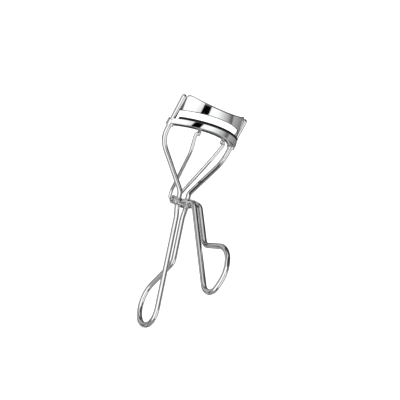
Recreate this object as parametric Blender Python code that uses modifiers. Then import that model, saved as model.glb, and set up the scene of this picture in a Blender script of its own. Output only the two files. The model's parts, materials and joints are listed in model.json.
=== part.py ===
"""Eyelash curler: a bent wire frame with two guide posts, a fixed upper jaw, a padded lower jaw that
slides up the posts, and a lever that pushes it there through a U-shaped link wire.

World frame, metres: +Z runs up the guide posts, +X runs across the jaws and -Y is the convex side of
the jaws, which points away from the user's face. The lever rests wide open.
"""

import math

import bmesh
import bpy
from mathutils import Matrix, Vector

MM = 0.001

# Driving dimensions
WIRE_RADIUS = 1.25 * MM
LINK_RADIUS = 0.85 * MM
GAP = 0.25 * MM
POST_X = 18.0 * MM
POST_Y = 33.0 * MM
POST_FOOT_Z = 87.15 * MM
POST_TOP = 14.7 * MM

# Jaws: arcs of one radius, in a plane that rises towards the convex side
JAW_RADIUS = 21.0 * MM
JAW_TILT = math.radians(30)
PLATE_LEAN = math.tan(math.radians(14))
CHANNEL_BOTTOM = -0.9 * MM
CHANNEL_TOP = 1.85 * MM
CHANNEL_HALF_WIDTH = 1.8 * MM
CHANNEL_WALL = 0.6 * MM
PAD_TOP = 3.15 * MM
PAD_HEAD_HALF_WIDTH = 1.7 * MM
PAD_HEAD_GAP = 0.1 * MM
PLATE_BOTTOM = 6.6 * MM
PLATE_TOP = 15.8 * MM
PLATE_HALF_THICKNESS = 0.45 * MM
BUSH_RADIUS = 1.95 * MM
BUSH_BOTTOM = -1.2 * MM
BUSH_TOP = 1.9 * MM

# Handles: two strands of wire side by side, ending in a finger ring. A ring's corners are
# (mm down the handle, mm out from it, share of the strand's offset along X, mm bend radius)
STRAND_X = 1.7 * MM
FULCRUM_STRAND_X = 2.45 * MM
FULCRUM_Y = -12.75 * MM
FULCRUM_Z = -30.6 * MM
FRAME_HANDLE_TILT = math.radians(29.6)
FRAME_RING = (
    (27.7, 0.0, 1, 3.5),
    (43.0, 17.7, 1 / 3, 12.7),
    (57.8, 15.7, -1 / 3, 8.9),
    (57.8, 0.0, -1, 7.7),
)
LEVER_HANDLE_TILT = math.radians(57.7)
LEVER_RING = (
    (21.3, 0.0, 1, 3.5),
    (31.3, 16.9, 1 / 3, 9.6),
    (43.1, 13.4, -1 / 3, 11.0),
    (51.0, 0.0, -1, 4.9),
)
LEVER_ARM_TILT = math.radians(26.0)
LEVER_BEND_REACH = 11.7 * MM

# Link: from the ears under the lower jaw down to the lever's hub
LINK_EAR_X = 6.85 * MM
EAR_RADIUS = 1.3 * MM
EAR_NECK = 1.25 * MM
LINK_TOP_X = 8.4 * MM
LINK_FOOT_X = 2.6 * MM
LINK_TOP_Y = -8.0 * MM
LINK_TOP_Z = 2.0 * MM
HUB_Y = -5.15 * MM
HUB_Z = -32.6 * MM

# Pivots
TANG_HALF_THICKNESS = 0.95 * MM
EYE_RADIUS = 2.1 * MM
EYE_HALF_THICKNESS = 1.0 * MM
RIVET_RADIUS = 0.8 * MM
RIVET_HOLE = 1.0 * MM
HUB_RADIUS = 2.1 * MM
HUB_HOLE = LINK_RADIUS + 0.3 * MM
HUB_HALF_LENGTH = 1.25 * MM

SMOOTH_ANGLE = math.radians(35)
X_AXIS = Vector((1, 0, 0))
FOOT = Vector((0, POST_Y, POST_FOOT_Z))


def clear_scene():
    for obj in list(bpy.data.objects):
        bpy.data.objects.remove(obj, do_unlink=True)


def new_collection(name):
    collection = bpy.data.collections.new(name)
    bpy.context.scene.collection.children.link(collection)
    return collection


def material(name, colour, metallic, roughness):
    made = bpy.data.materials.new(name)
    made.use_nodes = True
    shader = made.node_tree.nodes["Principled BSDF"]
    shader.inputs["Base Color"].default_value = (*colour, 1.0)
    shader.inputs["Metallic"].default_value = metallic
    shader.inputs["Roughness"].default_value = roughness
    made.diffuse_color = (*colour, 1.0)
    return made


def chrome(name):
    return material(name, (0.80, 0.81, 0.82), 1.0, 0.08)


def pivot_empty(name, point, collection):
    """An empty on a joint, which carries the pieces that move about it."""
    pivot = bpy.data.objects.new(name, None)
    pivot.empty_display_size = 5 * MM
    pivot.location = point
    collection.objects.link(pivot)
    return pivot


def link_object(name, mesh, collection, pivot=None):
    """Shows a mesh made in world coordinates. With a pivot, its origin moves there and follows it."""
    obj = bpy.data.objects.new(name, mesh)
    collection.objects.link(obj)
    if pivot is not None:
        mesh.transform(Matrix.Translation(-pivot.location))
        obj.parent = pivot
    return obj


def mesh_from(bm, name):
    bmesh.ops.recalc_face_normals(bm, faces=bm.faces)
    mesh = bpy.data.meshes.new(name)
    bm.to_mesh(mesh)
    bm.free()
    mesh.shade_smooth()
    mesh.set_sharp_from_angle(angle=SMOOTH_ANGLE)
    return mesh


def rounded_path(corners, turn=math.radians(11)):
    """Points along straight runs joined by arcs. Each corner is (position, bend radius)."""
    points = [corners[0][0]]
    for (before, _), (corner, radius), (after, _) in zip(corners, corners[1:], corners[2:]):
        into = (corner - before).normalized()
        out = (after - corner).normalized()
        angle = into.angle(out)
        if radius == 0 or angle < math.radians(1):
            points.append(corner)
            continue
        setback = radius * math.tan(angle / 2)
        start = corner - into * setback
        inward = (out - into * into.dot(out)).normalized()
        centre = start + inward * radius
        steps = max(2, math.ceil(angle / turn))
        for i in range(steps + 1):
            swing = angle * i / steps
            points.append(centre - inward * radius * math.cos(swing) + into * radius * math.sin(swing))
    points.append(corners[-1][0])
    return points


def round_ends(points, radius):
    """The same run of points with a domed end at each side, as (point, share of the full radius)."""
    dome = [(1.0, 0.30), (0.86, 0.60), (0.55, 0.88), (0.0, 1.0)]
    first = (points[1] - points[0]).normalized()
    last = (points[-2] - points[-1]).normalized()
    head = [(points[0] + first * radius * (1 - reach), share) for reach, share in dome]
    tail = [(points[-1] + last * radius * (1 - reach), share) for reach, share in reversed(dome)]
    return head + [(point, 1.0) for point in points[1:-1]] + tail


def wire_mesh(name, corners, radius):
    """A round wire along a rounded path, as a mesh."""
    points = round_ends(rounded_path(corners), radius)
    curve = bpy.data.curves.new(name, "CURVE")
    curve.dimensions = "3D"
    curve.bevel_depth = radius
    curve.bevel_resolution = 2
    curve.use_fill_caps = True
    spline = curve.splines.new("POLY")
    spline.points.add(len(points) - 1)
    for node, (point, share) in zip(spline.points, points):
        node.co = (*point, 1.0)
        node.radius = share
    holder = bpy.data.objects.new(name, curve)
    mesh = bpy.data.meshes.new_from_object(holder)
    bpy.data.objects.remove(holder)
    bpy.data.curves.remove(curve)
    bm = bmesh.new()
    bm.from_mesh(mesh)
    bmesh.ops.remove_doubles(bm, verts=bm.verts, dist=1e-6)
    bpy.data.meshes.remove(mesh)
    return mesh_from(bm, name)


def cross_cylinder(name, centre, radius, half_length, segments=32):
    """A cylinder along X."""
    bm = bmesh.new()
    turn = Matrix.Translation(centre) @ Matrix.Rotation(math.radians(90), 4, "Y")
    bmesh.ops.create_cone(
        bm,
        cap_ends=True,
        segments=segments,
        radius1=radius,
        radius2=radius,
        depth=2 * half_length,
        matrix=turn,
    )
    return mesh_from(bm, name)


def upright_cylinder(name, centre, radius, half_length, segments=32):
    """A cylinder along Z."""
    bm = bmesh.new()
    bmesh.ops.create_cone(
        bm,
        cap_ends=True,
        segments=segments,
        radius1=radius,
        radius2=radius,
        depth=2 * half_length,
        matrix=Matrix.Translation(centre),
    )
    return mesh_from(bm, name)


def block(name, centre, size, tilt=0.0):
    """A box turned about X by tilt."""
    bm = bmesh.new()
    matrix = Matrix.Translation(centre) @ Matrix.Rotation(tilt, 4, "X") @ Matrix.Diagonal((*size, 1))
    bmesh.ops.create_cube(bm, size=1, matrix=matrix)
    return mesh_from(bm, name)


def jaw_point(radius, angle, foot_z):
    """A point of a jaw's arc. At the posts the arc of JAW_RADIUS is foot_z above the foot."""
    chord = math.sqrt(JAW_RADIUS**2 - POST_X**2)
    bulge = radius * math.cos(angle) - chord
    across = radius * math.sin(angle)
    return FOOT + Vector((across, -bulge * math.cos(JAW_TILT), foot_z + bulge * math.sin(JAW_TILT)))


def arc_band(name, inner, outer, half_angle, bottom, top, steps=36, lean=0.0):
    """A curved wall: the flat arc between two radii, pulled up from bottom to top, leaning back by lean."""
    angles = [half_angle * (2 * i / steps - 1) for i in range(steps + 1)]
    outline = [jaw_point(inner, angle, bottom) for angle in angles]
    outline += [jaw_point(outer, angle, bottom) for angle in reversed(angles)]
    bm = bmesh.new()
    face = bm.faces.new([bm.verts.new(point) for point in outline])
    pulled = bmesh.ops.extrude_face_region(bm, geom=[face])
    raised = [item for item in pulled["geom"] if isinstance(item, bmesh.types.BMVert)]
    height = top - bottom
    bmesh.ops.translate(bm, verts=raised, vec=(0, height * lean, height))
    bmesh.ops.triangulate(bm, faces=[item for item in bm.faces if len(item.verts) > 4])
    return mesh_from(bm, name)


def boolean(obj, operation, mesh, cutters):
    """One exact Boolean. Its tool is kept as a hidden helper."""
    tool = link_object(f"{mesh.name}_tool", mesh, cutters, obj.parent)
    tool.hide_render = True
    tool.display_type = "WIRE"
    modifier = obj.modifiers.new(mesh.name, "BOOLEAN")
    modifier.operation = operation
    modifier.solver = "EXACT"
    modifier.object = tool


def bevel(obj, width, segments=2):
    modifier = obj.modifiers.new("edge bevel", "BEVEL")
    modifier.width = width
    modifier.segments = segments
    modifier.limit_method = "ANGLE"
    modifier.angle_limit = math.radians(40)


def handle_point(start, tilt, down, out, x, side):
    """A point beside a handle: so far down it, so far out of its side (+1 or -1), and at x."""
    along = Vector((0, -math.sin(tilt), -math.cos(tilt)))
    outward = Vector((0, math.cos(tilt), -math.sin(tilt))) * side
    return start + along * down + outward * out + X_AXIS * x


def ring_corners(start, tilt, ring, side):
    """The corners of a finger ring, from strand +X round to strand -X."""
    return [
        (handle_point(start, tilt, down * MM, out * MM, share * STRAND_X, side), bend * MM)
        for down, out, share, bend in ring
    ]


FULCRUM = FOOT + Vector((0, FULCRUM_Y, FULCRUM_Z))
HUB = FOOT + Vector((0, HUB_Y, HUB_Z))
LINK_TOP = FOOT + Vector((0, LINK_TOP_Y, LINK_TOP_Z))
ARM_DIRECTION = Vector((0, -math.cos(LEVER_ARM_TILT), math.sin(LEVER_ARM_TILT)))
LEVER_BEND = FULCRUM + ARM_DIRECTION * LEVER_BEND_REACH


def guide_corners(side):
    """One post and its guide wire, from the top down to the strand below the fulcrum."""
    tilt = FRAME_HANDLE_TILT
    x = FULCRUM_STRAND_X * side
    return [
        (FOOT + Vector((POST_X * side, 0, POST_TOP)), 0),
        (FOOT + Vector((POST_X * side, 0, -6.2 * MM)), 10.5 * MM),
        (FOOT + Vector((15.8 * MM * side, -1.6 * MM, -10.9 * MM)), 6.8 * MM),
        (handle_point(FULCRUM, tilt, -5.2 * MM, 0, x, 1), 3 * MM),
        (handle_point(FULCRUM, tilt, 2.2 * MM, 0, x, 1), 4 * MM),
        (handle_point(FULCRUM, tilt, 6.6 * MM, 0, STRAND_X * side, 1), 4 * MM),
    ]


def build_frame_wire(parts, cutters):
    corners = guide_corners(1)
    corners += ring_corners(FULCRUM, FRAME_HANDLE_TILT, FRAME_RING, 1)
    corners += list(reversed(guide_corners(-1)))
    frame = link_object("frame_wire", wire_mesh("frame_wire", corners, WIRE_RADIUS), parts)
    for side, label in ((-1, "left"), (1, "right")):
        centre = FULCRUM + X_AXIS * FULCRUM_STRAND_X * side
        eye = cross_cylinder(f"frame_eye_{label}", centre, EYE_RADIUS, EYE_HALF_THICKNESS)
        boolean(frame, "UNION", eye, cutters)
    hole = cross_cylinder("frame_rivet_hole", FULCRUM, RIVET_HOLE, 6 * MM, segments=24)
    boolean(frame, "DIFFERENCE", hole, cutters)
    frame.data.materials.append(chrome("frame chrome"))


def plate_outline():
    """What the upper jaw keeps: a level top edge with rounded corners."""
    bm = bmesh.new()
    height = 30 * MM
    centre = FOOT + Vector((0, -4 * MM, PLATE_TOP - height / 2))
    matrix = Matrix.Translation(centre) @ Matrix.Diagonal((34.2 * MM, 50 * MM, height, 1))
    bmesh.ops.create_cube(bm, size=1, matrix=matrix)
    top = FOOT.z + PLATE_TOP - 0.1 * MM
    corners = [
        edge
        for edge in bm.edges
        if all(vert.co.z > top for vert in edge.verts) and edge.verts[0].co.x * edge.verts[1].co.x > 0
    ]
    bmesh.ops.bevel(bm, geom=corners, offset=2.4 * MM, segments=8, profile=0.5, affect="EDGES")
    return mesh_from(bm, "plate_outline")


def build_upper_jaw(parts, cutters):
    half = PLATE_HALF_THICKNESS
    end = math.radians(54.2)
    inner = JAW_RADIUS - half
    outer = JAW_RADIUS + half
    mesh = arc_band("upper_jaw", inner, outer, end, PLATE_BOTTOM, PLATE_TOP + 8 * MM, 48, PLATE_LEAN)
    jaw = link_object("upper_jaw", mesh, parts)
    boolean(jaw, "INTERSECT", plate_outline(), cutters)
    for side, label in ((-1, "left"), (1, "right")):
        post = FOOT + Vector((POST_X * side, 0, 10 * MM))
        clearance = upright_cylinder(f"plate_end_{label}", post, WIRE_RADIUS + GAP, 12 * MM)
        boolean(jaw, "DIFFERENCE", clearance, cutters)
    jaw.data.materials.append(chrome("upper jaw chrome"))


def build_lower_jaw(parts, cutters, slide):
    half = CHANNEL_HALF_WIDTH
    end = math.radians(58.5)
    inner = JAW_RADIUS - half
    outer = JAW_RADIUS + half
    mesh = arc_band("lower_jaw_channel", inner, outer, end, CHANNEL_BOTTOM, CHANNEL_TOP)
    jaw = link_object("lower_jaw_channel", mesh, parts, slide)
    inside = half - CHANNEL_WALL
    floor = CHANNEL_BOTTOM + CHANNEL_WALL
    end = math.radians(51.0)
    inner = JAW_RADIUS - inside
    outer = JAW_RADIUS + inside
    groove = arc_band("channel_groove", inner, outer, end, floor, CHANNEL_TOP + 2 * MM)
    boolean(jaw, "DIFFERENCE", groove, cutters)
    for side, label in ((-1, "left"), (1, "right")):
        post = FOOT + Vector((POST_X * side, 0, 0))
        clearance = upright_cylinder(f"channel_end_{label}", post, BUSH_RADIUS + GAP, 12 * MM)
        boolean(jaw, "DIFFERENCE", clearance, cutters)
    jaw.data.materials.append(chrome("lower jaw chrome"))


def build_slide_bushes(parts, cutters, slide):
    for side, label in ((-1, "left"), (1, "right")):
        centre = FOOT + Vector((POST_X * side, 0, (BUSH_TOP + BUSH_BOTTOM) / 2))
        half = (BUSH_TOP - BUSH_BOTTOM) / 2
        name = f"slide_bush_{label}"
        bush = link_object(name, upright_cylinder(name, centre, BUSH_RADIUS, half), parts, slide)
        bore = upright_cylinder(f"bush_bore_{label}", centre, WIRE_RADIUS + 0.2 * MM, 6 * MM)
        boolean(bush, "DIFFERENCE", bore, cutters)
        bush.data.materials.append(chrome(f"{label} bush chrome"))


def build_lash_pad(parts, cutters, slide):
    """A head over the channel's walls, on a stem that fills the groove."""
    end = math.radians(49.5)
    half = PAD_HEAD_HALF_WIDTH
    head_bottom = CHANNEL_TOP + PAD_HEAD_GAP
    mesh = arc_band("lash_pad", JAW_RADIUS - half, JAW_RADIUS + half, end, head_bottom, PAD_TOP)
    pad = link_object("lash_pad", mesh, parts, slide)
    bevel(pad, 0.35 * MM)
    half = CHANNEL_HALF_WIDTH - CHANNEL_WALL - GAP
    bottom = CHANNEL_BOTTOM + CHANNEL_WALL + GAP
    inner = JAW_RADIUS - half
    outer = JAW_RADIUS + half
    stem = arc_band("pad_stem", inner, outer, math.radians(49.2), bottom, head_bottom + 0.5 * MM)
    boolean(pad, "UNION", stem, cutters)
    pad.data.materials.append(material("pad silicone", (0.012, 0.012, 0.013), 0.0, 0.45))


def build_link_ears(parts, cutters, slide):
    """Two tabs under the channel. Their top faces follow its tilted floor."""
    up = Vector((0, math.sin(JAW_TILT), math.cos(JAW_TILT)))
    for side, label in ((-1, "left"), (1, "right")):
        pivot = LINK_TOP + X_AXIS * LINK_EAR_X * side
        height = EAR_NECK
        name = f"link_ear_{label}"
        ear = link_object(name, cross_cylinder(name, pivot, EAR_RADIUS, 0.45 * MM), parts, slide)
        neck = block(f"ear_neck_{label}", pivot + up * height / 2, (0.85 * MM, 2.5 * MM, height), -JAW_TILT)
        boolean(ear, "UNION", neck, cutters)
        hole = cross_cylinder(f"ear_hole_{label}", pivot, LINK_RADIUS + 0.2 * MM, 3 * MM, segments=24)
        boolean(ear, "DIFFERENCE", hole, cutters)
        ear.data.materials.append(chrome(f"{label} ear chrome"))


def build_link_wire(parts, link_pivot):
    """One wire: hooked into each ear at the top, and running through the lever's hub at the bottom."""
    knee = FOOT + Vector((6.1 * MM, -8.1 * MM, -7.2 * MM))
    right = [
        (LINK_TOP + X_AXIS * 5.7 * MM, 0),
        (LINK_TOP + X_AXIS * LINK_TOP_X, 1.2 * MM),
        (knee, 22 * MM),
        (HUB + Vector((LINK_FOOT_X, 1.4 * MM, 3.2 * MM)), 3 * MM),
        (HUB + X_AXIS * LINK_FOOT_X, 1.2 * MM),
    ]
    left = [(Vector((-point.x, point.y, point.z)), bend) for point, bend in reversed(right)]
    link = link_object("link_wire", wire_mesh("link_wire", right + left, LINK_RADIUS), parts, link_pivot)
    link.data.materials.append(chrome("link chrome"))


def build_lever_wire(parts, lever_pivot):
    """Both strands end in the lever arm's sleeve and run over the bend down to the finger ring."""
    sleeve_end = FULCRUM + ARM_DIRECTION * 4.4 * MM
    corners = [(sleeve_end + X_AXIS * STRAND_X, 0), (LEVER_BEND + X_AXIS * STRAND_X, 4 * MM)]
    corners += ring_corners(LEVER_BEND, LEVER_HANDLE_TILT, LEVER_RING, -1)
    corners += [(LEVER_BEND - X_AXIS * STRAND_X, 4 * MM), (sleeve_end - X_AXIS * STRAND_X, 0)]
    lever = link_object("lever_wire", wire_mesh("lever_wire", corners, WIRE_RADIUS), parts, lever_pivot)
    lever.data.materials.append(chrome("lever chrome"))


def build_lever_arm(parts, cutters, lever_pivot):
    """A pressed arm: a sleeve over the lever's strands, a tang between the frame's strands, and a hub."""
    sleeve_start = 3.3 * MM
    sleeve_end = 8.6 * MM
    middle = FULCRUM + ARM_DIRECTION * (sleeve_start + sleeve_end) / 2
    size = (2 * (STRAND_X + 1.95 * MM), sleeve_end - sleeve_start, 3.8 * MM)
    arm = link_object("lever_arm", block("lever_arm", middle, size, -LEVER_ARM_TILT), parts, lever_pivot)
    bevel(arm, 1.3 * MM, 3)
    pocket_size = (2 * (STRAND_X + 1.5 * MM), 6 * MM, 2.95 * MM)
    pocket_middle = FULCRUM + ARM_DIRECTION * (4.1 * MM + 3 * MM)
    boolean(arm, "DIFFERENCE", block("sleeve_pocket", pocket_middle, pocket_size, -LEVER_ARM_TILT), cutters)
    tang_size = (2 * TANG_HALF_THICKNESS, 4.0 * MM, 3.4 * MM)
    tang_middle = FULCRUM + ARM_DIRECTION * 1.9 * MM
    boolean(arm, "UNION", block("outer_tang", tang_middle, tang_size, -LEVER_ARM_TILT), cutters)
    reach = HUB - FULCRUM
    inner_tilt = math.atan2(reach.z, reach.y)
    tang_size = (1.9 * TANG_HALF_THICKNESS, reach.length, 3.0 * MM)
    boolean(arm, "UNION", block("inner_tang", (HUB + FULCRUM) / 2, tang_size, inner_tilt), cutters)
    boolean(arm, "UNION", cross_cylinder("arm_eye", FULCRUM, 2.2 * MM, 1.08 * TANG_HALF_THICKNESS), cutters)
    boolean(arm, "UNION", cross_cylinder("arm_hub", HUB, HUB_RADIUS, HUB_HALF_LENGTH), cutters)
    boolean(arm, "DIFFERENCE", cross_cylinder("arm_rivet_hole", FULCRUM, RIVET_HOLE, 6 * MM, 24), cutters)
    boolean(arm, "DIFFERENCE", cross_cylinder("hub_hole", HUB, HUB_HOLE, 6 * MM, 24), cutters)
    arm.data.materials.append(chrome("arm chrome"))


def build_fulcrum_rivet(parts, cutters):
    reach = FULCRUM_STRAND_X + EYE_HALF_THICKNESS + GAP + 0.5 * MM
    name = "fulcrum_rivet"
    rivet = link_object(name, cross_cylinder(name, FULCRUM, RIVET_RADIUS, reach, 24), parts)
    for side, label in ((-1, "left"), (1, "right")):
        centre = FULCRUM + X_AXIS * (reach + 0.2 * MM) * side
        head = cross_cylinder(f"rivet_head_{label}", centre, 1.5 * MM, 0.4 * MM, 24)
        boolean(rivet, "UNION", head, cutters)
    bevel(rivet, 0.25 * MM)
    rivet.data.materials.append(chrome("rivet chrome"))


def main():
    clear_scene()
    parts = new_collection("eyelash_curler")
    cutters = new_collection("cutters")
    cutters.hide_render = True
    slide = pivot_empty("lower_jaw_slide", FOOT, parts)
    link_pivot = pivot_empty("link_pivot", LINK_TOP, parts)
    lever_pivot = pivot_empty("lever_pivot", FULCRUM, parts)
    build_frame_wire(parts, cutters)
    build_upper_jaw(parts, cutters)
    build_fulcrum_rivet(parts, cutters)
    build_lower_jaw(parts, cutters, slide)
    build_slide_bushes(parts, cutters, slide)
    build_lash_pad(parts, cutters, slide)
    build_link_ears(parts, cutters, slide)
    build_link_wire(parts, link_pivot)
    build_lever_wire(parts, lever_pivot)
    build_lever_arm(parts, cutters, lever_pivot)


main()
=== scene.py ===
"""Looks for the eyelash curler: finely made wires, pressed jaws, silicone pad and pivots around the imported
frame, polished chrome and silicone materials, and a white studio with a camera at the photograph's angle."""

import json
import math

import bmesh
import bpy
from mathutils import Matrix, Vector


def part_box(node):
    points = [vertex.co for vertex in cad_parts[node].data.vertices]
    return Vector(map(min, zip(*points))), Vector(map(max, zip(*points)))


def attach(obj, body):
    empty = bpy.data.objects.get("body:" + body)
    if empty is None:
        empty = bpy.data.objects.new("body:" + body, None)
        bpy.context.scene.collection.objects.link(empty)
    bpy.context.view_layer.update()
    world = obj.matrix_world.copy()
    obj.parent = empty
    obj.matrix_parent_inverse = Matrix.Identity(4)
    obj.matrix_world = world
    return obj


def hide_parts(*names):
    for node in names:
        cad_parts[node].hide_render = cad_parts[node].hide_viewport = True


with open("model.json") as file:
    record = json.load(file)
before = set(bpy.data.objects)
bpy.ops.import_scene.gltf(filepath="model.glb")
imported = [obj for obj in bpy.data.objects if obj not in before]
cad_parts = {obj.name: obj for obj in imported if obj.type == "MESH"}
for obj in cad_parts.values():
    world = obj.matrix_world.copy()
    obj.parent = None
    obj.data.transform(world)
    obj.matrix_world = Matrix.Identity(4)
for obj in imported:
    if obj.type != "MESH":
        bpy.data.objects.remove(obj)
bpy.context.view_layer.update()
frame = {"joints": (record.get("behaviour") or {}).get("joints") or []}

MM = 0.001


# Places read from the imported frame
bush_low, bush_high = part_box("slide_bush_right")
BUSH_BOTTOM_DEPTH = 1.2 * MM
POST_X = (bush_low.x + bush_high.x) / 2
FOOT = Vector((0, (bush_low.y + bush_high.y) / 2, bush_low.z + BUSH_BOTTOM_DEPTH))
joints = {joint["name"]: joint for joint in frame["joints"]}
FULCRUM = Vector(joints["lever_hinge"]["pos_m"])
LINK_TOP = Vector(joints["link_hinge"]["pos_m"])
POST_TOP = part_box("frame_wire")[1].z - FOOT.z
PLATE_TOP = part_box("upper_jaw")[1].z - FOOT.z

# Wires and handles, as the frame's design has them. A ring's corners are
# (mm down the handle, mm out from it, share of the strand's offset along X, mm bend radius)
WIRE_RADIUS = 1.25 * MM
LINK_RADIUS = 0.85 * MM
RUNNING_GAP = 0.12 * MM
STRAND_X = 1.7 * MM
FULCRUM_STRAND_X = 2.45 * MM
FRAME_HANDLE_TILT = math.radians(29.6)
FRAME_RING = (
    (27.7, 0.0, 1, 3.5),
    (43.0, 17.7, 1 / 3, 12.7),
    (57.8, 15.7, -1 / 3, 8.9),
    (57.8, 0.0, -1, 7.7),
)
LEVER_HANDLE_TILT = math.radians(57.7)
LEVER_RING = (
    (21.3, 0.0, 1, 3.5),
    (31.3, 16.9, 1 / 3, 9.6),
    (43.1, 13.4, -1 / 3, 11.0),
    (51.0, 0.0, -1, 4.9),
)
LEVER_ARM_TILT = math.radians(26.0)
LEVER_BEND_REACH = 11.7 * MM
LINK_TOP_X = 8.4 * MM
LINK_FOOT_X = 2.6 * MM
HUB = FOOT + Vector((0, -5.15 * MM, -32.6 * MM))

# Each post bends below the foot, turns in at a shoulder (from the foot, along X, Y and Z), and then
# follows the frame's handle: (mm down it from the fulcrum, offset along X, mm bend radius)
POST_BEND_DEPTH = 6.2 * MM
POST_BEND = 10.5 * MM
SHOULDER = (15.8 * MM, -1.6 * MM, -10.9 * MM)
SHOULDER_BEND = 6.8 * MM
GUIDE_RUN = (
    (-5.2, FULCRUM_STRAND_X, 3),
    (2.2, FULCRUM_STRAND_X, 4),
    (6.6, STRAND_X, 4),
)
SLEEVE_WIRE_REACH = 4.4 * MM
LEVER_BEND_RADIUS = 4 * MM

# The link's right leg, from its end in an ear, by a bend below the jaw (from the foot) and one above
# the hub (from the hub), to its foot
LINK_END_X = 5.7 * MM
LINK_END_BEND = 1.2 * MM
LINK_KNEE = (6.1 * MM, -8.1 * MM, -7.2 * MM)
LINK_KNEE_BEND = 22 * MM
LINK_ANKLE = (LINK_FOOT_X, 1.4 * MM, 3.2 * MM)
LINK_ANKLE_BEND = 3 * MM

# Jaws
JAW_RADIUS = 21.0 * MM
JAW_TILT = math.radians(30)
PLATE_LEAN = math.tan(math.radians(14))
CHORD = math.sqrt(JAW_RADIUS**2 - POST_X**2)

X_AXIS = Vector((1, 0, 0))
ARM_DIRECTION = Vector((0, -math.cos(LEVER_ARM_TILT), math.sin(LEVER_ARM_TILT)))
LEVER_BEND = FULCRUM + ARM_DIRECTION * LEVER_BEND_REACH


# ---------------------------------------------------------------- materials


RIM_EDGE = 0.15 * MM
BUMP_DEPTH = 0.05 * MM
# Colour of the painted dark reflection along the upper plate's rim
PAINTED_RIM_REFLECTION = (0.11, 0.11, 0.115)
HAZED_SHARE = 0.93
HAZE_SCALE = 180
RIPPLE_SCALE = 420
SKIN_SCALE = 900


def new_material(name):
    made = bpy.data.materials.new(name)
    made.use_nodes = True
    return made, made.node_tree, made.node_tree.nodes["Principled BSDF"]


def object_noise(tree, scale, detail):
    """Noise fixed to the object."""
    place = tree.nodes.new("ShaderNodeTexCoord")
    noise = tree.nodes.new("ShaderNodeTexNoise")
    noise.inputs["Scale"].default_value = scale
    noise.inputs["Detail"].default_value = detail
    tree.links.new(place.outputs["Object"], noise.inputs["Vector"])
    return noise


def map_range(tree, source, low, high, start=0.3, end=0.7):
    ranged = tree.nodes.new("ShaderNodeMapRange")
    ranged.inputs["From Min"].default_value = start
    ranged.inputs["From Max"].default_value = end
    ranged.inputs["To Min"].default_value = low
    ranged.inputs["To Max"].default_value = high
    tree.links.new(source, ranged.inputs["Value"])
    return ranged.outputs["Result"]


def bump(tree, shader, height, strength, distance):
    node = tree.nodes.new("ShaderNodeBump")
    node.inputs["Strength"].default_value = strength
    node.inputs["Distance"].default_value = distance
    tree.links.new(height, node.inputs["Height"])
    tree.links.new(node.outputs["Normal"], shader.inputs["Normal"])


def soft_step(tree, value, start, end):
    """0 below start and 1 above end, eased."""
    step = tree.nodes.new("ShaderNodeMapRange")
    step.interpolation_type = "SMOOTHSTEP"
    step.inputs["From Min"].default_value = start
    step.inputs["From Max"].default_value = end
    tree.links.new(value, step.inputs["Value"])
    return step.outputs["Result"]


def blend(tree, factor, first, second):
    """first at factor 0 and second at factor 1. Each is a socket, or a colour as a tuple."""
    mix = tree.nodes.new("ShaderNodeMix")
    mix.data_type = "RGBA"
    tree.links.new(factor, mix.inputs["Factor"])
    for end, socket in ((first, mix.inputs["A"]), (second, mix.inputs["B"])):
        if isinstance(end, tuple):
            socket.default_value = (*end, 1)
        else:
            tree.links.new(end, socket)
    return mix.outputs["Result"]


def painted_rim_share(tree, half_width, top, corner, rim):
    """1 on the outer rim of a plate with rounded upper corners, 0 inside it: the mask of a painted dark
    reflection.
    """
    place = tree.nodes.new("ShaderNodeTexCoord")
    mirrored = tree.nodes.new("ShaderNodeVectorMath")
    mirrored.operation = "ABSOLUTE"
    tree.links.new(place.outputs["Object"], mirrored.inputs[0])
    shift = tree.nodes.new("ShaderNodeVectorMath")
    shift.operation = "SUBTRACT"
    shift.inputs[1].default_value = (half_width - corner, 0, top - corner)
    tree.links.new(mirrored.outputs["Vector"], shift.inputs[0])
    past = tree.nodes.new("ShaderNodeVectorMath")
    past.operation = "MAXIMUM"
    tree.links.new(shift.outputs["Vector"], past.inputs[0])
    flat = tree.nodes.new("ShaderNodeVectorMath")
    flat.operation = "MULTIPLY"
    flat.inputs[1].default_value = (1, 0, 1)
    tree.links.new(past.outputs["Vector"], flat.inputs[0])
    reach = tree.nodes.new("ShaderNodeVectorMath")
    reach.operation = "LENGTH"
    tree.links.new(flat.outputs["Vector"], reach.inputs[0])
    return soft_step(tree, reach.outputs["Value"], corner - rim, corner - rim + RIM_EDGE)


def chrome(name, roughness=0.05, colour=(0.86, 0.865, 0.875), wear=0.05, ripple=0.04, rim=None):
    """Chrome plate: faint plating ripple, and thin patches of handling haze.

    rim = (half width, top, corner radius, rim width) darkens a plate's rim with a painted dark reflection.
    """
    made, tree, shader = new_material(name)
    shader.inputs["Metallic"].default_value = 1.0
    haze = object_noise(tree, HAZE_SCALE, 5).outputs["Fac"]
    hazed = tuple(channel * HAZED_SHARE for channel in colour)
    plated = blend(tree, map_range(tree, haze, 0, 1, 0.35, 0.6), hazed, colour)
    if rim:
        # Painted dark reflection on the plate's rim
        plated = blend(tree, painted_rim_share(tree, *rim), plated, PAINTED_RIM_REFLECTION)
    tree.links.new(plated, shader.inputs["Base Color"])
    tree.links.new(map_range(tree, haze, roughness + wear, roughness), shader.inputs["Roughness"])
    plating = object_noise(tree, RIPPLE_SCALE, 2).outputs["Fac"]
    bump(tree, shader, plating, ripple, BUMP_DEPTH)
    return made


def silicone(name):
    """Matt black silicone with a fine moulded skin."""
    made, tree, shader = new_material(name)
    skin = object_noise(tree, SKIN_SCALE, 6).outputs["Fac"]
    black = blend(tree, skin, (0.004, 0.004, 0.005), (0.010, 0.010, 0.011))
    tree.links.new(black, shader.inputs["Base Color"])
    tree.links.new(map_range(tree, skin, 0.5, 0.68), shader.inputs["Roughness"])
    shader.inputs["Specular IOR Level"].default_value = 0.1
    bump(tree, shader, skin, 0.15, BUMP_DEPTH)
    return made


# ---------------------------------------------------------------- mesh helpers


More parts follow.
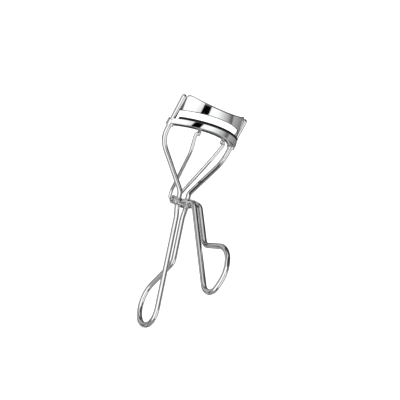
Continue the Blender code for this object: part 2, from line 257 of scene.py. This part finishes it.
def shown(name, data, made):
    obj = bpy.data.objects.new(name, data)
    bpy.context.scene.collection.objects.link(obj)
    obj.data.materials.append(made)
    return obj


def finish_piece(obj, body, slot, *nodes):
    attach(obj, body)
    if nodes:
        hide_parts(*nodes)


def smooth_mesh(bm, name, sharp=math.radians(50)):
    bmesh.ops.recalc_face_normals(bm, faces=bm.faces)
    mesh = bpy.data.meshes.new(name)
    bm.to_mesh(mesh)
    bm.free()
    mesh.shade_smooth()
    mesh.set_sharp_from_angle(angle=sharp)
    return mesh


def loft(rings, name, closed_ends=True):
    """A closed skin through rings of matching points."""
    bm = bmesh.new()
    rows = [[bm.verts.new(point) for point in ring] for ring in rings]
    for lower, upper in zip(rows, rows[1:]):
        for i in range(len(lower)):
            j = (i + 1) % len(lower)
            bm.faces.new((lower[i], lower[j], upper[j], upper[i]))
    if closed_ends:
        bm.faces.new(rows[0])
        bm.faces.new(rows[-1])
    return smooth_mesh(bm, name)


def lathe(profile, centre, axis, name, steps=72):
    """A turned piece: profile holds (radius, height) pairs and runs round a closed section."""
    turn = Vector((0, 0, 1)).rotation_difference(axis).to_matrix()
    rings = []
    for i in range(steps):
        angle = math.tau * i / steps
        ring = [Vector((r * math.cos(angle), r * math.sin(angle), h)) for r, h in profile]
        rings.append([centre + turn @ point for point in ring])
    return loft(rings + [rings[0]], name, closed_ends=False)


def rounded_box_profile(half_width, low, high, radius, steps=6):
    """(across, up) points round a rectangle with rounded corners."""
    points = []
    corners = [
        (half_width - radius, high - radius, 0),
        (-half_width + radius, high - radius, 90),
        (-half_width + radius, low + radius, 180),
        (half_width - radius, low + radius, 270),
    ]
    for across, up, start in corners:
        for i in range(steps + 1):
            angle = math.radians(start + 90 * i / steps)
            points.append((across + radius * math.cos(angle), up + radius * math.sin(angle)))
    return points


# ---------------------------------------------------------------- wires


def rounded_path(corners, turn=math.radians(4)):
    """Points along straight runs joined by arcs. Each corner is (position, bend radius)."""
    points = [corners[0][0]]
    for (before, _), (corner, radius), (after, _) in zip(corners, corners[1:], corners[2:]):
        into = (corner - before).normalized()
        out = (after - corner).normalized()
        angle = into.angle(out)
        if radius == 0 or angle < math.radians(1):
            points.append(corner)
            continue
        setback = radius * math.tan(angle / 2)
        start = corner - into * setback
        inward = (out - into * into.dot(out)).normalized()
        centre = start + inward * radius
        steps = max(3, math.ceil(angle / turn))
        for i in range(steps + 1):
            swing = angle * i / steps
            points.append(centre - inward * radius * math.cos(swing) + into * radius * math.sin(swing))
    points.append(corners[-1][0])
    return points


def evenly(points, step):
    """The same run with a point every step."""
    made = [points[0].copy()]
    left = step
    for start, end in zip(points, points[1:]):
        run = (end - start).length
        done = 0.0
        while run - done >= left:
            done += left
            made.append(start.lerp(end, done / run))
            left = step
        left -= run - done
    if (made[-1] - points[-1]).length > step / 4:
        made.append(points[-1].copy())
    return made


def eased(points, passes):
    """Softens where arcs meet straight runs, as in wire bent round a former."""
    for _ in range(passes):
        inner = [(a + 2 * b + c) / 4 for a, b, c in zip(points, points[1:], points[2:])]
        points = [points[0], *inner, points[-1]]
    return points


DOME_STEPS = 8


def wire(name, corners, radius, made, step=0.4 * MM, passes=6):
    """A round wire with domed ends along a rounded path."""
    points = eased(evenly(rounded_path(corners), step), passes)
    dome = [math.radians(90 * i / DOME_STEPS) for i in range(1, DOME_STEPS)]
    first = (points[1] - points[0]).normalized()
    last = (points[-2] - points[-1]).normalized()
    head = [(points[0] + first * radius * (1 - math.cos(a)), math.sin(a)) for a in dome]
    tail = [(points[-1] + last * radius * (1 - math.cos(a)), math.sin(a)) for a in reversed(dome)]
    clear = [p for p in points if min((p - points[0]).length, (p - points[-1]).length) > radius]
    run = head + [(point, 1.0) for point in clear] + tail
    curve = bpy.data.curves.new(name, "CURVE")
    curve.dimensions = "3D"
    curve.bevel_depth = radius
    curve.bevel_resolution = 7
    curve.use_fill_caps = True
    spline = curve.splines.new("POLY")
    spline.points.add(len(run) - 1)
    for node, (point, share) in zip(spline.points, run):
        node.co = (*point, 1.0)
        node.radius = share
    spline.use_smooth = True
    return shown(name, curve, made)


def handle_point(start, tilt, down, out, x, side):
    """A point beside a handle: so far down it, so far out of its side (+1 or -1), and at x."""
    along = Vector((0, -math.sin(tilt), -math.cos(tilt)))
    outward = Vector((0, math.cos(tilt), -math.sin(tilt))) * side
    return start + along * down + outward * out + X_AXIS * x


def ring_corners(start, tilt, ring, side):
    """The corners of a finger ring, from strand +X round to strand -X."""
    return [
        (handle_point(start, tilt, down * MM, out * MM, share * STRAND_X, side), bend * MM)
        for down, out, share, bend in ring
    ]


def guide_corners(side):
    """One post and its guide wire, from the top down to the strand below the fulcrum."""
    out, along, up = SHOULDER
    corners = [
        (FOOT + Vector((POST_X * side, 0, POST_TOP)), 0),
        (FOOT + Vector((POST_X * side, 0, -POST_BEND_DEPTH)), POST_BEND),
        (FOOT + Vector((out * side, along, up)), SHOULDER_BEND),
    ]
    for down, x, bend in GUIDE_RUN:
        corners.append((handle_point(FULCRUM, FRAME_HANDLE_TILT, down * MM, 0, x * side, 1), bend * MM))
    return corners


def make_frame_wire(made):
    corners = guide_corners(1)
    corners += ring_corners(FULCRUM, FRAME_HANDLE_TILT, FRAME_RING, 1)
    corners += list(reversed(guide_corners(-1)))
    fine = wire("frame_wire_fine", corners, WIRE_RADIUS, made)
    finish_piece(fine, "frame", "frame_wire", "frame_wire")


def make_lever_wire(made):
    sleeve_end = FULCRUM + ARM_DIRECTION * SLEEVE_WIRE_REACH
    strand = X_AXIS * STRAND_X
    corners = [(sleeve_end + strand, 0), (LEVER_BEND + strand, LEVER_BEND_RADIUS)]
    corners += ring_corners(LEVER_BEND, LEVER_HANDLE_TILT, LEVER_RING, -1)
    corners += [(LEVER_BEND - strand, LEVER_BEND_RADIUS), (sleeve_end - strand, 0)]
    fine = wire("lever_wire_fine", corners, WIRE_RADIUS, made)
    finish_piece(fine, "lever", "lever_wire", "lever_wire")


def make_link_wire(made):
    right = [
        (LINK_TOP + X_AXIS * LINK_END_X, 0),
        (LINK_TOP + X_AXIS * LINK_TOP_X, LINK_END_BEND),
        (FOOT + Vector(LINK_KNEE), LINK_KNEE_BEND),
        (HUB + Vector(LINK_ANKLE), LINK_ANKLE_BEND),
        (HUB + X_AXIS * LINK_FOOT_X, LINK_END_BEND),
    ]
    left = [(Vector((-point.x, point.y, point.z)), bend) for point, bend in reversed(right)]
    fine = wire("link_wire_fine", right + left, LINK_RADIUS, made, 0.2 * MM, 5)
    finish_piece(fine, "link", "link_wire", "link_wire")


# ---------------------------------------------------------------- jaws


def jaw_point(radius, angle, up):
    """A point of a jaw's leaning wall. up is the height above the foot where the arc meets the posts."""
    bulge = radius * math.cos(angle) - CHORD
    across = radius * math.sin(angle)
    return Vector((across, FOOT.y - bulge * math.cos(JAW_TILT), up + bulge * math.sin(JAW_TILT)))


def wall_point(radius, angle, bottom, height, lean):
    """A point height above the tilted plane that crosses the posts at bottom."""
    point = jaw_point(radius, angle, FOOT.z + bottom)
    return point + Vector((0, height * lean, height))


WALL_END_REACH = 0.9 * MM
WALL_END_INSET = 0.2 * MM


def end_angle(radius, bottom, height, lean, clearance):
    """Where a wall's end comes within clearance of the post's axis."""
    low, high = math.radians(30), math.asin(min(1, (POST_X + WALL_END_REACH) / radius))
    for _ in range(30):
        middle = (low + high) / 2
        point = wall_point(radius, middle, bottom, height, lean)
        gap = math.hypot(point.x - POST_X, point.y - FOOT.y)
        behind = point.y > FOOT.y - WALL_END_INSET
        if gap < clearance or behind:
            high = middle
        else:
            low = middle
    return low


def swept_wall(name, profile_at, bottom, lean, clearance, made, stations=120):
    """A jaw wall: profile_at(share) gives (across, up) pairs at each share of the way, -1 to 1."""
    rings = []
    for i in range(stations + 1):
        share = -math.cos(math.pi * i / stations)
        ring = []
        for across, up in profile_at(share):
            radius = JAW_RADIUS + across
            angle = share * end_angle(radius, bottom, up, lean, clearance)
            ring.append(wall_point(radius, angle, bottom, up, lean))
        rings.append(ring)
    return shown(name, loft(rings, name), made)


PLATE_BOTTOM = 6.6 * MM
PLATE_HALF_THICKNESS = 0.45 * MM
PLATE_CLEARANCE = WIRE_RADIUS + 0.1 * MM
PLATE_HALF_WIDTH = 16.6 * MM
PLATE_CORNER = 2.2 * MM
PLATE_RIM = 0.45 * MM
PLATE_END_SLACK = 0.5 * MM
PLATE_ROUNDING = 0.3 * MM
PLATE_MIDDLE_HEIGHT = 8 * MM


def plate_height(share):
    """From the plate's lower edge up to its level top edge, with rounded corners at the posts."""
    angle = share * end_angle(JAW_RADIUS, PLATE_BOTTOM, PLATE_MIDDLE_HEIGHT, PLATE_LEAN, PLATE_CLEARANCE)
    bulge = JAW_RADIUS * math.cos(angle) - CHORD
    level = PLATE_TOP - PLATE_BOTTOM - bulge * math.sin(JAW_TILT)
    from_corner = abs(JAW_RADIUS * math.sin(angle)) - (PLATE_HALF_WIDTH - PLATE_CORNER)
    drop = PLATE_CORNER - math.sqrt(max(0, PLATE_CORNER**2 - max(0, from_corner) ** 2))
    return level - drop


def make_upper_jaw(made):
    def profile(share):
        return rounded_box_profile(PLATE_HALF_THICKNESS, 0, plate_height(share), PLATE_ROUNDING, 5)

    fine = swept_wall("upper_jaw_fine", profile, PLATE_BOTTOM, PLATE_LEAN, PLATE_CLEARANCE, made)
    finish_piece(fine, "frame", "upper_jaw", "upper_jaw")


CHANNEL_BOTTOM = -0.9 * MM
CHANNEL_HEIGHT = 2.75 * MM
CHANNEL_HALF_WIDTH = 1.8 * MM
CHANNEL_WALL = 0.6 * MM
CHANNEL_EDGE = 0.18 * MM
CHANNEL_HEEL = 0.45 * MM
CHANNEL_TUCK = 0.1 * MM
BUSH_RADIUS = (bush_high.x - bush_low.x) / 2
PAD_HALF_WIDTH = 1.7 * MM
PAD_TOP = 3.15 * MM
PAD_STEM = 0.95 * MM
PAD_CROWN = 0.5 * MM
PAD_EDGE = 0.2 * MM
PAD_END_SHARE = 0.02
PAD_END_DROP = 0.3 * MM
PAD_END_NARROWING = 0.2
PAD_LIFT = 0.06 * MM
PAD_GROOVE_GAP = 0.2 * MM
PAD_CLEARANCE = 3.1 * MM


def arc(across, up, radius, start, sweep, steps=5):
    """(across, up) points along an arc, for a wall's section."""
    angles = [math.radians(start + sweep * i / steps) for i in range(steps + 1)]
    return [(across + radius * math.cos(a), up + radius * math.sin(a)) for a in angles]


def make_lower_jaw(made):
    half = CHANNEL_HALF_WIDTH
    inside = half - CHANNEL_WALL
    edge = CHANNEL_EDGE
    heel = CHANNEL_HEEL
    outline = arc(half - heel, heel, heel, -90, 90)
    outline += arc(half - edge, CHANNEL_HEIGHT - edge, edge, 0, 90)
    outline += arc(inside + edge, CHANNEL_HEIGHT - edge, edge, 90, 90)
    outline += [(inside, CHANNEL_WALL), (-inside, CHANNEL_WALL)]
    outline += arc(-inside - edge, CHANNEL_HEIGHT - edge, edge, 0, 90)
    outline += arc(-half + edge, CHANNEL_HEIGHT - edge, edge, 90, 90)
    outline += arc(-half + heel, heel, heel, 180, 90)
    clearance = BUSH_RADIUS - CHANNEL_TUCK
    fine = swept_wall("lower_jaw_fine", lambda share: outline, CHANNEL_BOTTOM, 0, clearance, made)
    finish_piece(fine, "lower_jaw", "lower_jaw", "lower_jaw_channel")


def make_lash_pad(made):
    """A rounded head over the channel's walls, on a stem in its groove."""
    bottom = CHANNEL_BOTTOM + CHANNEL_WALL + PAD_GROOVE_GAP
    head_low = CHANNEL_BOTTOM + CHANNEL_HEIGHT + PAD_LIFT - bottom
    head_high = PAD_TOP - bottom

    def profile(share):
        taper = math.sqrt(min(1, (1 - abs(share)) / PAD_END_SHARE))
        head = PAD_HALF_WIDTH * (1 - PAD_END_NARROWING * (1 - taper))
        high = head_high - PAD_END_DROP * (1 - taper)
        outline = arc(head - PAD_CROWN, high - PAD_CROWN, PAD_CROWN, 0, 90)
        outline += arc(-head + PAD_CROWN, high - PAD_CROWN, PAD_CROWN, 90, 90)
        outline += arc(-head + PAD_EDGE, head_low + PAD_EDGE, PAD_EDGE, 180, 90)
        outline += [(-PAD_STEM, head_low), (-PAD_STEM, 0), (PAD_STEM, 0), (PAD_STEM, head_low)]
        outline += arc(head - PAD_EDGE, head_low + PAD_EDGE, PAD_EDGE, 270, 90)
        return outline

    fine = swept_wall("lash_pad_fine", profile, bottom, 0, PAD_CLEARANCE, made)
    finish_piece(fine, "lower_jaw", "lash_pad", "lash_pad")


BUSH_ROUNDING = 0.24 * MM


def make_slide_bushes(made):
    low = -BUSH_BOTTOM_DEPTH
    high = bush_high.z - FOOT.z
    inner = WIRE_RADIUS + RUNNING_GAP
    wall = (BUSH_RADIUS - inner) / 2
    middle = (BUSH_RADIUS + inner) / 2
    for side, label in ((-1, "left"), (1, "right")):
        profile = rounded_box_profile(wall, low, high, BUSH_ROUNDING, 5)
        profile = [(middle + across, up) for across, up in profile]
        centre = FOOT + X_AXIS * POST_X * side
        name = f"slide_bush_{label}_fine"
        bush = shown(name, lathe(profile, centre, Vector((0, 0, 1)), name), made)
        finish_piece(bush, "lower_jaw", "slide_bush", f"slide_bush_{label}")


# ---------------------------------------------------------------- pivots

HUB_BORE = LINK_RADIUS + 0.3 * MM
HUB_RADIUS = 2.05 * MM
HUB_HALF_THICKNESS = 1.22 * MM
HUB_ROUNDING = 0.3 * MM
EYE_BORE = 1.0 * MM
EYE_RADIUS = 2.1 * MM
EYE_HALF_THICKNESS = 1.0 * MM
EYE_ROUNDING = 0.25 * MM
EAR_RISE = 0.35 * MM
EAR_RADII = (1.25 * MM, 1.2 * MM)
EAR_EDGE = 0.1 * MM
TANG_REACH = 4.2 * MM
TANG_RADII = (2.15 * MM, 1.6 * MM)
TANG_HALF_THICKNESS = 0.95 * MM
ARM_RADII = (2.1 * MM, 1.9 * MM)
ARM_HALF_THICKNESS = 0.9 * MM
PRESSED_EDGE = 0.15 * MM

# The rivet's head, inwards from its outer face: (mm from the axis, mm from the face)
RIVET_HEAD = (
    (0.01, 0),
    (0.7, 0),
    (1.15, 0.1),
    (1.42, 0.32),
    (1.48, 0.63),
    (1.42, 0.75),
    (0.8, 0.75),
)

# The sleeve's skin: (mm from the fulcrum, share of its width, share of its height). Its hollow is open
# at the mouth and ends inside, both in mm from the fulcrum.
SLEEVE_RADIUS = 1.85 * MM
SLEEVE_GAP = 0.08 * MM
SLEEVE_SHAPE = (
    (3.25, 0.55, 0.55),
    (3.35, 0.75, 0.78),
    (3.6, 0.92, 0.94),
    (4.1, 1.0, 1.0),
    (8.3, 1.0, 1.0),
    (8.5, 0.985, 0.97),
    (8.58, 0.95, 0.92),
)
SLEEVE_HOLLOW = (8.5, 5.0)

# Turns a flat outline's X, Y and Z to the world's Y, Z and X
SIDE_ON = Matrix(((0, 0, 1, 0), (1, 0, 0, 0), (0, 1, 0, 0), (0, 0, 0, 1)))


def side_outline(name, splines, half_thickness, edge, x, made):
    """A flat pressing seen from the side: closed outlines of (y, z) points, extruded along X."""
    curve = bpy.data.curves.new(name, "CURVE")
    curve.dimensions = "2D"
    curve.fill_mode = "BOTH"
    curve.extrude = half_thickness - edge
    curve.bevel_depth = edge
    curve.bevel_resolution = 3
    curve.offset = -edge
    for outline in splines:
        spline = curve.splines.new("POLY")
        spline.points.add(len(outline) - 1)
        for node, (across, up) in zip(spline.points, outline):
            node.co = (across, up, 0, 1)
        spline.use_cyclic_u = True
    obj = shown(name, curve, made)
    obj.matrix_world = Matrix.Translation((x, 0, 0)) @ SIDE_ON
    return obj


def circle(centre, radius, start=0.0, sweep=360.0, steps=40):
    """(y, z) points along an arc round a centre."""
    count = steps if sweep == 360 else steps + 1
    angles = [math.radians(start + sweep * i / steps) for i in range(count)]
    return [(centre.y + radius * math.cos(a), centre.z + radius * math.sin(a)) for a in angles]


def capsule(first, second, first_radius, second_radius):
    """(y, z) points round two circles and the straight edges between them."""
    angle = math.degrees(math.atan2(second.z - first.z, second.y - first.y))
    near = circle(first, first_radius, angle + 90, 180, 20)
    far = circle(second, second_radius, angle - 90, 180, 20)
    return near + far


def make_link_ears(made):
    up = Vector((0, math.sin(JAW_TILT), math.cos(JAW_TILT)))
    for label in ("left", "right"):
        low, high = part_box(f"link_ear_{label}")
        x = (low.x + high.x) / 2
        outline = capsule(LINK_TOP, LINK_TOP + up * EAR_RISE, *EAR_RADII)
        hole = circle(LINK_TOP, LINK_RADIUS + RUNNING_GAP, 360, -360)
        name = f"link_ear_{label}_fine"
        ear = side_outline(name, [outline, hole], (high.x - low.x) / 2, EAR_EDGE, x, made)
        finish_piece(ear, "lower_jaw", "link_ear", f"link_ear_{label}")


def ring_section(inner, outer, half_thickness, rounding):
    """(radius, height) points round the section of a turned ring."""
    wall = (outer - inner) / 2
    profile = rounded_box_profile(wall, -half_thickness, half_thickness, rounding, 5)
    return [(inner + wall + across, up) for across, up in profile]


def sleeve_ring(reach, half_width, half_height):
    """A flattened ring round the lever's two strands, at a distance from the fulcrum."""
    centre = FULCRUM + ARM_DIRECTION * reach
    up = X_AXIS.cross(ARM_DIRECTION)
    profile = rounded_box_profile(half_width, -half_height, half_height, half_height * 0.98, 8)
    return [centre + X_AXIS * across + up * rise for across, rise in profile]


def make_lever_arm(made):
    outer = (STRAND_X + SLEEVE_RADIUS, SLEEVE_RADIUS)
    hollow = (STRAND_X + WIRE_RADIUS + SLEEVE_GAP, WIRE_RADIUS + SLEEVE_GAP)
    rings = [sleeve_ring(reach * MM, outer[0] * wide, outer[1] * tall) for reach, wide, tall in SLEEVE_SHAPE]
    rings += [sleeve_ring(reach * MM, *hollow) for reach in SLEEVE_HOLLOW]
    sleeve = shown("lever_sleeve_fine", loft(rings, "lever_sleeve_fine"), made)
    finish_piece(sleeve, "lever", "lever_arm", "lever_arm")
    outline = capsule(FULCRUM, FULCRUM + ARM_DIRECTION * TANG_REACH, *TANG_RADII)
    tang = side_outline("lever_tang_fine", [outline], TANG_HALF_THICKNESS, PRESSED_EDGE, 0, made)
    finish_piece(tang, "lever", "lever_arm")
    outline = capsule(FULCRUM, HUB, *ARM_RADII)
    bore = circle(HUB, HUB_BORE, 360, -360)
    arm = side_outline("lever_arm_fine", [outline, bore], ARM_HALF_THICKNESS, PRESSED_EDGE, 0, made)
    finish_piece(arm, "lever", "lever_arm")
    profile = ring_section(HUB_BORE, HUB_RADIUS, HUB_HALF_THICKNESS, HUB_ROUNDING)
    hub = shown("lever_hub_fine", lathe(profile, HUB, X_AXIS, "lever_hub_fine"), made)
    finish_piece(hub, "lever", "lever_arm")


def make_fulcrum(made, eye_made):
    head_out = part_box("fulcrum_rivet")[1].x
    profile = [(radius * MM, depth * MM - head_out) for radius, depth in RIVET_HEAD]
    profile += [(radius, -height) for radius, height in reversed(profile)]
    rivet = shown("fulcrum_rivet_fine", lathe(profile, FULCRUM, X_AXIS, "fulcrum_rivet_fine"), made)
    finish_piece(rivet, "frame", "fulcrum_rivet", "fulcrum_rivet")
    for side, label in ((-1, "left"), (1, "right")):
        profile = ring_section(EYE_BORE, EYE_RADIUS, EYE_HALF_THICKNESS, EYE_ROUNDING)
        centre = FULCRUM + X_AXIS * FULCRUM_STRAND_X * side
        name = f"frame_eye_{label}"
        eye = shown(name, lathe(profile, centre, X_AXIS, name), eye_made)
        finish_piece(eye, "frame", "frame_wire")


# ---------------------------------------------------------------- studio

# The camera, fitted to the photograph
CAMERA_AZIMUTH = math.radians(35.3)
CAMERA_ELEVATION = math.radians(13.8)
CAMERA_ROLL = math.radians(-28.45)
CAMERA_DISTANCE = 480.3 * MM
CAMERA_TARGET = FOOT + Vector((17.7 * MM, 1.0 * MM, -30.5 * MM))
PIXELS_PER_METRE = 2070
IMAGE_PIXELS = 400
SENSOR_MM = 36.0
FLOOR_RADIUS = 2.5
FLOOR_GLOW = 0.4
TENT_STRENGTH = 1.2


def view_axes():
    """The camera's right, down and forward directions."""
    level = math.cos(CAMERA_ELEVATION)
    x, y = -math.sin(CAMERA_AZIMUTH) * level, -math.cos(CAMERA_AZIMUTH) * level
    forward = -Vector((x, y, math.sin(CAMERA_ELEVATION)))
    right = forward.cross(Vector((0, 0, 1))).normalized()
    down = forward.cross(right)
    turned_right = right * math.cos(CAMERA_ROLL) + down * math.sin(CAMERA_ROLL)
    turned_down = down * math.cos(CAMERA_ROLL) - right * math.sin(CAMERA_ROLL)
    return turned_right, turned_down, forward


def make_camera():
    right, down, forward = view_axes()
    data = bpy.data.cameras.new("camera")
    data.sensor_width = SENSOR_MM
    data.lens = PIXELS_PER_METRE * CAMERA_DISTANCE / IMAGE_PIXELS * SENSOR_MM
    data.clip_start = 0.01
    camera = bpy.data.objects.new("camera", data)
    bpy.context.scene.collection.objects.link(camera)
    turn = Matrix((right, -down, -forward)).transposed().to_4x4()
    camera.matrix_world = Matrix.Translation(CAMERA_TARGET - forward * CAMERA_DISTANCE) @ turn
    bpy.context.scene.camera = camera


def make_floor():
    bm = bmesh.new()
    bmesh.ops.create_circle(bm, cap_ends=True, segments=96, radius=FLOOR_RADIUS)
    mesh = bpy.data.meshes.new("floor")
    bm.to_mesh(mesh)
    bm.free()
    made, _, shader = new_material("floor white")
    shader.inputs["Base Color"].default_value = (0.93, 0.93, 0.93, 1)
    shader.inputs["Roughness"].default_value = 0.9
    shader.inputs["Specular IOR Level"].default_value = 0.1
    shader.inputs["Emission Color"].default_value = (1, 1, 1, 1)
    shader.inputs["Emission Strength"].default_value = FLOOR_GLOW
    floor = shown("floor", mesh, made)
    floor.visible_glossy = False


def level_ramp(tree, share, stops):
    """Grey levels round the tent, from stops of (degrees, level)."""
    ramp = tree.nodes.new("ShaderNodeValToRGB")
    elements = ramp.color_ramp.elements
    while len(elements) < len(stops):
        elements.new(0.5)
    for element, (degrees, level) in zip(elements, stops):
        element.position = (degrees + 180) / 360
        element.color = (level, level, level, 1)
    tree.links.new(share, ramp.inputs["Fac"])
    return ramp.outputs["Color"]


# Grey levels round the tent, which stands still when the view moves: (degrees from the photograph's
# side, level). They were tuned until the chrome's reflections in that view matched the photograph's.
TENT_LEVEL = [
    (-180, 0.06),
    (-150, 0.14),
    (-122, 0.42),
    (-98, 0.42),
    (-84, 0.14),
    (-66, 0.16),
    (-46, 1.0),
    (-2, 1.0),
    (12, 0.75),
    (14, 0.0),
    (32, 0.0),
    (34, 1.0),
    (54, 1.0),
    (86, 0.36),
    (96, 0.13),
    (101, 0.13),
    (105, 0.40),
    (135, 0.24),
    (180, 0.06),
]
TENT_SHOULDER = [(-180, 0.04), (-84, 0.05), (-60, 1.0), (14, 1.0), (38, 0.12), (180, 0.04)]
TENT_TOP = [(-180, 0.04), (-120, 0.04), (-102, 0.6), (-54, 0.6), (-38, 0.04), (180, 0.03)]
TENT_SKIRT = [
    (-180, 0.1),
    (-62, 0.14),
    (-44, 1.0),
    (6, 1.0),
    (14, 0.04),
    (68, 0.04),
    (84, 0.5),
    (180, 0.1),
]
TENT_FLOOR = [
    (-180, 0.04),
    (-150, 0.5),
    (-120, 0.02),
    (-95, 0.55),
    (-70, 0.02),
    (-45, 0.5),
    (-20, 0.02),
    (5, 0.55),
    (30, 0.02),
    (60, 0.5),
    (90, 0.02),
    (120, 0.45),
    (150, 0.02),
    (180, 0.04),
]

# The bands above and below, and the elevations in degrees between which each gives way to the next
TENT_RISING = ((TENT_SHOULDER, 22, 27), (TENT_TOP, 42, 50))
TENT_FALLING = ((TENT_SKIRT, -24, -19), (TENT_FLOOR, -40, -33))


def make_world():
    """Even white light, in which only reflections see the tent's grey levels."""
    world = bpy.data.worlds.new("studio")
    bpy.context.scene.world = world
    world.use_nodes = True
    tree = world.node_tree
    background = tree.nodes["Background"]
    place = tree.nodes.new("ShaderNodeTexCoord")
    turn = tree.nodes.new("ShaderNodeVectorRotate")
    turn.rotation_type = "Z_AXIS"
    turn.inputs["Angle"].default_value = CAMERA_AZIMUTH
    split = tree.nodes.new("ShaderNodeSeparateXYZ")
    tree.links.new(place.outputs["Generated"], turn.inputs["Vector"])
    tree.links.new(turn.outputs["Vector"], split.inputs["Vector"])
    away = tree.nodes.new("ShaderNodeMath")
    away.operation = "MULTIPLY"
    away.inputs[1].default_value = -1
    tree.links.new(split.outputs["Y"], away.inputs[0])
    swing = tree.nodes.new("ShaderNodeMath")
    swing.operation = "ARCTAN2"
    tree.links.new(split.outputs["X"], swing.inputs[0])
    tree.links.new(away.outputs["Value"], swing.inputs[1])
    around = map_range(tree, swing.outputs["Value"], 0, 1, -math.pi, math.pi)
    height = split.outputs["Z"]
    level = level_ramp(tree, around, TENT_LEVEL)
    for band, start, end in TENT_RISING:
        share = soft_step(tree, height, math.sin(math.radians(start)), math.sin(math.radians(end)))
        level = blend(tree, share, level, level_ramp(tree, around, band))
    for band, start, end in TENT_FALLING:
        share = soft_step(tree, height, math.sin(math.radians(start)), math.sin(math.radians(end)))
        level = blend(tree, share, level_ramp(tree, around, band), level)
    path = tree.nodes.new("ShaderNodeLightPath")
    seen = blend(tree, path.outputs["Is Glossy Ray"], (1, 1, 1), level)
    tree.links.new(seen, background.inputs["Color"])
    background.inputs["Strength"].default_value = TENT_STRENGTH


def main():
    wire_chrome = chrome("wire chrome")
    jaw_chrome = chrome("jaw chrome", roughness=0.03, ripple=0.02)
    # The upper plate's rim gets a painted dark reflection
    painted_rim_band = (PLATE_HALF_WIDTH + PLATE_END_SLACK, FOOT.z + PLATE_TOP, PLATE_CORNER, PLATE_RIM)
    plate_chrome = chrome("plate chrome painted rim", roughness=0.03, ripple=0.02, rim=painted_rim_band)
    small_chrome = chrome("pressed chrome", roughness=0.26, colour=(0.92, 0.92, 0.92), wear=0.08, ripple=0.08)
    pad_silicone = silicone("pad silicone")
    make_camera()
    make_frame_wire(wire_chrome)
    make_lever_wire(wire_chrome)
    make_link_wire(wire_chrome)
    make_upper_jaw(plate_chrome)
    make_lower_jaw(jaw_chrome)
    make_lash_pad(pad_silicone)
    make_slide_bushes(wire_chrome)
    make_link_ears(small_chrome)
    make_lever_arm(small_chrome)
    make_fulcrum(small_chrome, wire_chrome)
    make_floor()
    make_world()
    bpy.context.scene.view_settings.view_transform = "Standard"


main()
